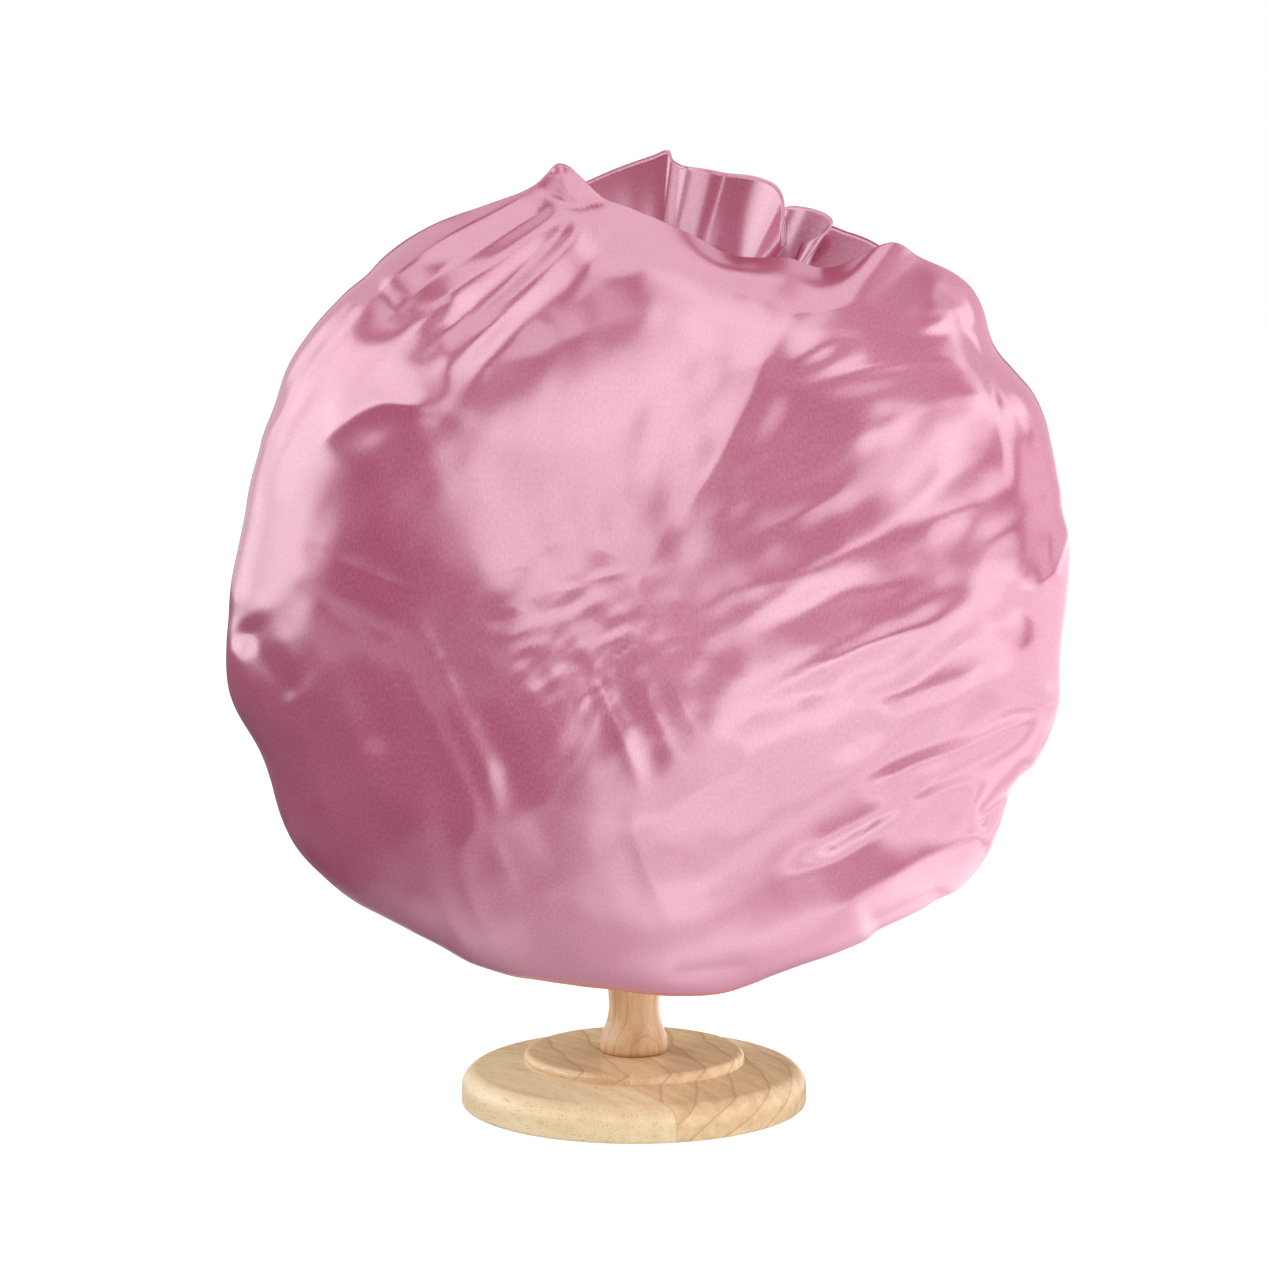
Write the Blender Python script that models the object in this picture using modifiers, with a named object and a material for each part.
"""Satin sleep bonnet resting on a turned wooden hat stand.

The stand is three turned pieces: a stepped base disc, a waisted post and a
low domed head. The bonnet is one round of satin gathered on an elastic ring:
the crown is the big soft pouch in front of the ring, the casing is the
stitched channel that holds the elastic, and the ruffle is the free edge of
the cloth beyond it.

Frame: metres, +Z up, origin on the floor under the middle of the stand.
The crown faces -Y and the bonnet's mouth faces +Y and a little down.
"""
import math

import bpy
import numpy as np

MM = 0.001

# ---------------------------------------------------------------- stand sizes
BASE_DIAMETER = 0.145
BASE_EDGE_HEIGHT = 0.0150       # top of the rounded rim
BASE_MIDDLE_HEIGHT = 0.0180     # the disc is turned slightly domed
BASE_RIM_RADIUS = 0.0078        # large rounding of the upper edge
BASE_FOOT_RADIUS = 0.0015       # small rounding of the lower edge
STEP_DIAMETER = 0.0926
STEP_HEIGHT = 0.0040
STEP_RADIUS = 0.0028
HEAD_RADIUS = 0.0500
HEAD_TOP_HEIGHT = 0.3540
HEAD_CROWN_RISE = 0.0330        # from the widest line up to the top
HEAD_UNDER_DROP = 0.0135        # from the widest line down to the neck
HEAD_NECK_RADIUS = 0.0190
SEAT_GAP = 0.0003
TURNED_STEPS = 40

# Height above the step in mm, and radius in mm, of the waisted post.
POST_STATIONS = (
    # height, radius
    (0.0, 14.2),
    (2.6, 14.4),
    (7.0, 13.4),
    (12.0, 11.6),
    (18.0, 10.6),
    (24.0, 10.8),
    (36.0, 12.4),
    (58.0, 14.0),
    (96.0, 12.4),
    (150.0, 10.2),
    (262.0, 10.2),
)

# --------------------------------------------------------------- bonnet sizes
CLOTH_WALL = 0.0014
POUCH_CENTRE = (0.0043, -0.1003, 0.2372)
POUCH_TILT_DEG = 7.2            # the pouch faces this far upwards
POUCH_BULGE = 0.0560            # middle of the face in front of the rim
POUCH_SAG = 0.0070              # how far the lower half swells past the upper
REAR_DEPTH_TOP = 0.0300         # how far the cloth runs straight back
REAR_DEPTH_LOW = 0.0480         # from the rim before it turns to the ring
REAR_SPREAD_SIDE = 0.0360       # how far outside the ring it turns inwards
REAR_SPREAD_TOP = 0.0055
REAR_SETBACK_SIDE = 0.0180      # and how far in front of the ring
REAR_SETBACK_TOP = 0.0120
RING_CENTRE = (0.0, 0.0050, 0.2700)
RING_TILT_DEG = 28.0            # the mouth faces this far down from level
RING_RADIUS = 0.0900
CASING_WIDTH = 0.0100
CASING_THICKNESS = 0.0026
CROWN_EDGE_GAP = 0.0009         # between the crown's edge and the casing
GATHER_COUNT = 16
GATHER_AT_RING = 0.0016         # half height of a pleat at the casing
GATHER_ON_CROWN = 0.0050        # deepest half height on the crown's back
RUFFLE_WAVE = 0.0065            # half height of a wave at the free edge
RUFFLE_STANDOFF = 0.0020        # step from the casing's edge to the ruffle
AROUND = 96                     # faces round every cloth ring
FACE_RINGS = 9
BACK_RINGS = 7
RUFFLE_RINGS = 3

# The rim is the pouch's widest line. Angle anticlockwise from the wearer's
# right as seen in front of the crown, radius, and how far the rim lies back,
# or forward where that is negative, as along the gathered edge at the top.
RIM_STATIONS = (
    # angle_deg, radius_mm, back_mm
    (0.0, 166.2, 1.7),
    (12.0, 166.2, 4.3),
    (24.0, 168.3, 6.9),
    (33.0, 164.2, 9.4),
    (41.0, 170.2, 7.0),
    (49.0, 163.5, 3.0),
    (53.5, 160.2, -1.0),
    (57.0, 143.6, -5.0),
    (66.0, 133.9, -12.0),
    (74.0, 127.4, -14.0),
    (84.0, 133.8, -14.0),
    (91.0, 140.6, -12.0),
    (97.0, 149.6, -4.0),
    (101.5, 163.2, 6.0),
    (106.0, 157.8, 6.0),
    (114.0, 157.0, 6.0),
    (122.0, 160.0, 5.0),
    (134.0, 160.6, 5.0),
    (150.0, 161.8, 3.4),
    (163.0, 158.4, 0.4),
    (176.0, 158.8, 0.0),
    (186.0, 163.8, 0.0),
    (196.0, 169.2, 0.4),
    (206.0, 166.2, 0.8),
    (218.0, 173.8, 1.0),
    (227.0, 172.2, 0.8),
    (236.0, 168.0, 0.6),
    (248.0, 167.0, 0.0),
    (264.0, 163.4, 0.0),
    (280.0, 167.6, 0.0),
    (290.0, 165.6, 0.1),
    (302.0, 168.6, 0.6),
    (315.0, 175.6, 2.3),
    (328.0, 170.8, 2.3),
    (342.0, 170.2, 2.4),
    (350.0, 166.1, 2.2),
)

# Main folds and dents of the pouch: each runs from one point of the face to
# another, X to the right and Z up from the pouch's centre. A positive height
# is a ridge and a negative one a valley.
CROWN_FOLDS = (
    # name,             from x,  z,    to x,   z,    width, height, all in mm
    ("knot_ridge",      -27.0, 158.0, -46.0, 128.0,   6.5,   4.5),
    ("fan_valley_low",  -20.0, 141.0, -60.0, 104.0,   5.5,  -4.0),
    ("fan_valley_mid",  -33.0, 140.0, -80.0,  95.0,   5.5,  -4.0),
    ("fan_ridge_left",  -50.0, 138.0, -86.0,  78.0,   7.0,   3.5),
    ("shoulder_valley", -62.0, 134.0, -88.0, 118.0,   6.0,  -3.5),
    ("left_dent",       -88.0,  52.0,-108.0,  28.0,  22.0,  -6.0),
    ("left_swell",     -128.0,  58.0,-142.0,   8.0,  18.0,   4.0),
    ("left_pocket",    -132.0, -28.0,-146.0, -42.0,  12.0,  -6.0),
    ("low_left_dent",  -104.0, -62.0,-130.0, -92.0,  22.0,  -6.0),
    ("middle_dent",     -20.0, -30.0, -60.0, -62.0,  34.0,  -4.0),
    ("long_valley",      88.0, 114.0,  24.0,  34.0,  13.0,  -6.0),
    ("valley_bank",      60.0, 116.0,  -4.0,  30.0,  22.0,   3.0),
    ("shoulder_dent",    98.0,  98.0, 128.0,  96.0,   9.0,  -6.0),
    ("right_pleat_in",  124.0,  98.0, 138.0,  54.0,   5.0,  -4.0),
    ("right_pleat_out", 138.0,  84.0, 155.0,  16.0,   5.0,  -4.5),
    ("right_vee_high",  158.0,   2.0, 140.0, -14.0,   7.0,  -5.0),
    ("right_vee_low",   140.0, -14.0, 150.0, -44.0,   7.0,  -5.0),
    ("low_long_fold",    64.0, -88.0, 150.0, -60.0,   8.0,  -4.5),
    ("right_notch",     132.0, -92.0, 152.0, -84.0,   6.0,  -5.0),
    ("low_right_lip",    90.0,-136.0, 112.0,-130.0,   6.0,  -4.0),
    ("under_tuck",       12.0,-155.0,  40.0,-154.0,   4.0,  -3.0),
)

# Free edge of the ruffle: angle round the ring, width of the cloth beyond
# the casing, and how far its edge leans away from the crown.
RUFFLE_STATIONS = (
    # angle_deg, width_mm, lean_mm
    (0.0, 46.0, 16.0),
    (28.0, 49.0, 10.0),
    (43.0, 53.5, 2.0),
    (52.0, 51.0, 0.0),
    (60.0, 51.5, -1.0),
    (68.0, 53.5, -4.0),
    (76.0, 50.5, -6.0),
    (83.0, 53.0, -8.0),
    (92.0, 45.5, -8.0),
    (100.0, 38.0, -8.0),
    (112.0, 38.0, 0.0),
    (130.0, 44.0, 8.0),
    (180.0, 46.0, 16.0),
    (230.0, 42.0, 20.0),
    (270.0, 36.0, 18.0),
    (310.0, 42.0, 20.0),
)


# ------------------------------------------------------------------ geometry
def tilted_frame(tilt_deg, towards):
    """Return the up and outward unit vectors of a plane leaning by a tilt.

    towards is -1 for a face that looks along -Y and up, and +1 for a mouth
    that looks along +Y and down.
    """
    tilt = math.radians(tilt_deg)
    up = np.array([0.0, math.sin(tilt), math.cos(tilt)])
    out = np.array([0.0, towards * math.cos(tilt), -towards * math.sin(tilt)])
    return up, out


ACROSS = np.array([1.0, 0.0, 0.0])
FACE_UP, FACE_OUT = tilted_frame(POUCH_TILT_DEG, -1)
RING_UP, RING_OUT = tilted_frame(RING_TILT_DEG, 1)


def around(stations, column, angles):
    """Read one column of a table of angles as a smooth closed curve."""
    knots = np.radians([row[0] for row in stations])
    values = np.array([row[column] for row in stations])
    knots = np.concatenate([knots - 2 * math.pi, knots, knots + 2 * math.pi])
    values = np.tile(values, 3)
    slopes = np.gradient(values, knots)
    turned = np.mod(angles, 2 * math.pi)
    left = np.searchsorted(knots, turned, side="right") - 1
    step = knots[left + 1] - knots[left]
    part = (turned - knots[left]) / step
    ease = part * part * (3 - 2 * part)
    return (
        values[left] * (1 - ease)
        + values[left + 1] * ease
        + slopes[left] * step * part * (1 - part) ** 2
        - slopes[left + 1] * step * part * part * (1 - part)
    )


def polar(centre, radius, angles, up):
    """Return points at a radius round a centre, in the plane of X and up."""
    radius = np.asarray(radius)[..., None]
    outward = np.cos(angles)[..., None] * ACROSS + np.sin(angles)[..., None] * up
    return np.asarray(centre) + radius * outward


def pleat_wave(angles):
    """Return the gathers' wave round the ring, between -1 and 1."""
    return np.cos(GATHER_COUNT * angles)


def ring_section(angles, radial, axial):
    """Return a line round the ring, following the gathers' wave."""
    radius = RING_RADIUS + radial + GATHER_AT_RING * (pleat_wave(angles) - 1) / 2
    return polar(RING_CENTRE, radius, angles, RING_UP) + axial * RING_OUT


def pouch_face(angles, reach):
    """Return the front of the pouch; reach is 0 in the middle, 1 at the rim."""
    radius = around(RIM_STATIONS, 1, angles) * MM
    back = around(RIM_STATIONS, 2, angles) * MM
    flat = polar(POUCH_CENTRE, reach * radius, angles, FACE_UP)
    swell = POUCH_BULGE - POUCH_SAG * np.sin(angles) * reach
    rise = swell * np.sqrt(np.clip(1 - reach ** 2.6, 0, 1)) - back * reach ** 3
    return flat + rise[..., None] * FACE_OUT


def pouch_back(angles, reach):
    """Return the back of the pouch; reach is 0 at the rim, 1 at the ring.

    Each line is a Bezier curve that leaves the rim straight back and comes
    to the ring from outside.
    """
    low = 0.5 - 0.5 * np.sin(angles)
    high = np.clip(np.sin(angles), 0, 1)
    rim = pouch_face(angles, np.ones_like(angles))
    ring = ring_section(angles, 0.0, -(CASING_WIDTH / 2 + CROWN_EDGE_GAP))
    depth = REAR_DEPTH_TOP + (REAR_DEPTH_LOW - REAR_DEPTH_TOP) * low
    spread = REAR_SPREAD_SIDE + (REAR_SPREAD_TOP - REAR_SPREAD_SIDE) * high ** 2
    setback = REAR_SETBACK_SIDE + (REAR_SETBACK_TOP - REAR_SETBACK_SIDE) * high
    first = rim - depth[..., None] * FACE_OUT
    second = polar(RING_CENTRE, RING_RADIUS + spread, angles, RING_UP)
    second = second - setback[..., None] * RING_OUT
    t = reach[..., None]
    return (
        rim * (1 - t) ** 3
        + 3 * first * t * (1 - t) ** 2
        + 3 * second * t * t * (1 - t)
        + ring * t ** 3
    )


def fold_height(points):
    """Add up the folds of the table at points on the pouch's front."""
    offset = points - np.asarray(POUCH_CENTRE)
    x = offset @ ACROSS / MM
    z = offset @ FACE_UP / MM
    total = np.zeros(x.shape)
    for _, x0, z0, x1, z1, width, height in CROWN_FOLDS:
        run = math.hypot(x1 - x0, z1 - z0)
        along = ((x - x0) * (x1 - x0) + (z - z0) * (z1 - z0)) / run
        beside = ((x - x0) * (z1 - z0) - (z - z0) * (x1 - x0)) / run
        past = along - np.clip(along, 0, run)
        total += height * np.exp(-(beside ** 2 + past ** 2) / width ** 2)
    return total * MM


def surface_normals(grid):
    """Return unit normals of a closed-round grid of points, rows by angle."""
    down = np.gradient(grid, axis=0)
    side = np.roll(grid, -1, axis=1) - np.roll(grid, 1, axis=1)
    normal = np.cross(down, side)
    return normal / np.linalg.norm(normal, axis=2, keepdims=True)


def crown_grid():
    """Return the crown's outer surface from near its middle to the ring."""
    angles = np.arange(AROUND) * 2 * math.pi / AROUND
    face = np.sin(np.linspace(0, 1, FACE_RINGS + 1)[1:] * math.pi / 2)
    back = np.linspace(0, 1, BACK_RINGS + 1)[1:]
    rows = [pouch_face(angles, np.full(AROUND, reach)) for reach in face]
    rows += [pouch_back(angles, np.full(AROUND, reach)) for reach in back]
    grid = np.array(rows)

    # The folds fade out round the corner of the rim, and the gathers grow
    # from there to a full pleat and settle to the casing's own wave.
    fade = np.concatenate([np.ones(len(face)), np.clip(1 - 2.2 * back, 0, 1)])
    folds = fold_height(grid) * fade[:, None]
    pleat = GATHER_ON_CROWN * np.sin(math.pi * back ** 1.6)
    pleat = np.concatenate([np.zeros(len(face)), pleat])
    lift = folds + pleat[:, None] * (pleat_wave(angles)[None, :] - 1) / 2
    return grid + surface_normals(grid) * lift[..., None]


def casing_grid():
    """Return the closed tube of the casing, one row for each corner."""
    angles = np.arange(AROUND) * 2 * math.pi / AROUND
    half = CASING_WIDTH / 2
    thick = CASING_THICKNESS / 2
    corners = ((thick, 0.8), (-thick, 1), (-thick, -1), (thick, -0.8))
    return np.array([ring_section(angles, radial, part * half) for radial, part in corners])


def ruffle_grid():
    """Return the ruffle's surface from the casing out to the free edge."""
    angles = np.arange(AROUND) * 2 * math.pi / AROUND
    width = around(RUFFLE_STATIONS, 1, angles) * MM
    lean = around(RUFFLE_STATIONS, 2, angles) * MM
    start = CASING_WIDTH / 2 + CLOTH_WALL / 2
    rows = []
    for reach in np.linspace(0, 1, RUFFLE_RINGS + 1):
        wave = RUFFLE_WAVE * reach ** 0.8 * pleat_wave(angles)
        axial = start + RUFFLE_STANDOFF * min(1, 6 * reach) + lean * reach ** 1.3 + wave
        line = ring_section(angles, width * reach, 0.0)
        rows.append(line + axial[:, None] * RING_OUT)
    return np.array(rows)


# -------------------------------------------------------------------- Blender
def clear_scene():
    """Remove every object of the startup scene."""
    for item in list(bpy.data.objects):
        bpy.data.objects.remove(item, do_unlink=True)


def material(name, colour, roughness):
    """Make a plain Principled material from an sRGB colour."""
    made = bpy.data.materials.new(name)
    made.use_nodes = True
    shader = made.node_tree.nodes["Principled BSDF"]
    linear = [((part + 0.055) / 1.055) ** 2.4 for part in colour]
    shader.inputs["Base Color"].default_value = (*linear, 1.0)
    shader.inputs["Roughness"].default_value = roughness
    return made


def place(name, mesh, finish, collection):
    """Put a mesh in the collection as a smooth-shaded named object."""
    made = bpy.data.objects.new(name, mesh)
    mesh.materials.append(finish)
    mesh.shade_smooth()
    collection.objects.link(made)
    return made


def loft(name, grid, pole=None, closed_tube=False):
    """Make a mesh through rows of points that each close on themselves."""
    rows, count, _ = grid.shape
    points = [tuple(point) for point in grid.reshape(-1, 3)]
    faces = []
    spans = rows if closed_tube else rows - 1
    for row in range(spans):
        here, there = row * count, (row + 1) % rows * count
        for k in range(count):
            after = (k + 1) % count
            faces.append((here + k, there + k, there + after, here + after))
    if pole is not None:
        points.append(tuple(pole))
        faces += [(len(points) - 1, k, (k + 1) % count) for k in range(count)]
    mesh = bpy.data.meshes.new(name)
    mesh.from_pydata(points, [], faces)
    mesh.validate()
    return mesh


def wall(item, thickness, offset):
    """Give an open surface its cloth thickness."""
    shell = item.modifiers.new("cloth_wall", "SOLIDIFY")
    shell.thickness = thickness
    shell.offset = offset


def arc(middle_r, middle_z, radius, start_deg, end_deg, pieces):
    """Return profile points along an arc, by angle from the +r direction."""
    sweep = np.radians(np.linspace(start_deg, end_deg, pieces + 1))
    return [(middle_r + radius * math.cos(a), middle_z + radius * math.sin(a)) for a in sweep]


def turned(name, profile, finish, collection):
    """Turn a profile of (r, z), listed top to bottom, about the Z axis."""
    mesh = bpy.data.meshes.new(name)
    points = [(r, 0.0, z) for r, z in profile]
    mesh.from_pydata(points, [(k, k + 1) for k in range(len(points) - 1)], [])
    item = place(name, mesh, finish, collection)
    screw = item.modifiers.new("lathe", "SCREW")
    screw.steps = screw.render_steps = TURNED_STEPS
    screw.use_merge_vertices = True
    screw.merge_threshold = 1e-5
    screw.use_smooth_shade = True
    return item


def build_base(finish, collection):
    """Base disc with a fat rounded rim and a low raised step."""
    rim = BASE_DIAMETER / 2
    step = STEP_DIAMETER / 2
    step_top = BASE_MIDDLE_HEIGHT + STEP_HEIGHT
    profile = [(0.0, step_top)]
    profile += arc(step - STEP_RADIUS, step_top - STEP_RADIUS, STEP_RADIUS, 90, 0, 3)
    profile += [(step, BASE_MIDDLE_HEIGHT)]
    profile += arc(rim - BASE_RIM_RADIUS, BASE_EDGE_HEIGHT - BASE_RIM_RADIUS, BASE_RIM_RADIUS, 80, 0, 4)
    profile += arc(rim - BASE_FOOT_RADIUS, BASE_FOOT_RADIUS, BASE_FOOT_RADIUS, 0, -90, 2)
    profile += [(0.0, 0.0)]
    return turned("stand_base", profile, finish, collection)


def build_post(finish, collection):
    """Waisted post that stands on the base's step."""
    foot = BASE_MIDDLE_HEIGHT + STEP_HEIGHT + SEAT_GAP
    heights = [row[0] * MM for row in POST_STATIONS]
    radii = [row[1] * MM for row in POST_STATIONS]
    full = HEAD_TOP_HEIGHT - HEAD_CROWN_RISE - HEAD_UNDER_DROP - SEAT_GAP - foot
    levels = np.concatenate([np.array(heights[:-1]), [full]])
    extra = (levels[1:] + levels[:-1]) / 2
    levels = np.sort(np.concatenate([levels, extra]))[::-1]
    slopes = np.gradient(radii, heights)
    profile = [(0.0, foot + full)]
    for level in levels:
        k = min(max(int(np.searchsorted(heights, level)) - 1, 0), len(heights) - 2)
        step = heights[k + 1] - heights[k]
        part = min((level - heights[k]) / step, 1.0)
        ease = part * part * (3 - 2 * part)
        radius = radii[k] * (1 - ease) + radii[k + 1] * ease
        radius += slopes[k] * step * part * (1 - part) ** 2
        radius -= slopes[k + 1] * step * part * part * (1 - part)
        profile.append((radius, foot + level))
    profile.append((0.0, foot))
    return turned("stand_post", profile, finish, collection)


def build_head(finish, collection):
    """Low domed head that carries the bonnet."""
    widest = HEAD_TOP_HEIGHT - HEAD_CROWN_RISE
    profile = [(0.0, HEAD_TOP_HEIGHT)]
    for sweep in np.radians(np.linspace(75, 0, 6)):
        profile.append((HEAD_RADIUS * math.cos(sweep), widest + HEAD_CROWN_RISE * math.sin(sweep)))
    for sweep in np.radians(np.linspace(-30, -90, 3)):
        radius = HEAD_NECK_RADIUS + (HEAD_RADIUS - HEAD_NECK_RADIUS) * math.cos(sweep)
        profile.append((radius, widest + HEAD_UNDER_DROP * math.sin(sweep)))
    profile.append((0.0, widest - HEAD_UNDER_DROP))
    return turned("stand_head", profile, finish, collection)


def main():
    """Build the bonnet and its stand."""
    clear_scene()
    collection = bpy.data.collections.new("sleep_bonnet_on_stand")
    bpy.context.scene.collection.children.link(collection)
    satin = material("pink_satin", (0.85, 0.54, 0.66), 0.38)
    ruffle_satin = material("pink_satin_ruffle", (0.85, 0.54, 0.66), 0.38)
    casing_satin = material("pink_satin_casing", (0.83, 0.52, 0.64), 0.45)
    base_wood = material("rubberwood_base", (0.91, 0.80, 0.64), 0.42)
    post_wood = material("rubberwood_post", (0.89, 0.77, 0.60), 0.42)
    head_wood = material("rubberwood_head", (0.89, 0.77, 0.60), 0.45)

    build_base(base_wood, collection)
    build_post(post_wood, collection)
    build_head(head_wood, collection)

    middle = pouch_face(np.zeros(1), np.zeros(1))[0]
    crown = place("crown", loft("crown", crown_grid(), pole=middle), satin, collection)
    wall(crown, CLOTH_WALL, -1.0)
    casing = loft("elastic_casing", casing_grid(), closed_tube=True)
    place("elastic_casing", casing, casing_satin, collection)
    ruffle = place("ruffle", loft("ruffle", ruffle_grid()), ruffle_satin, collection)
    wall(ruffle, CLOTH_WALL, 0.0)


main()
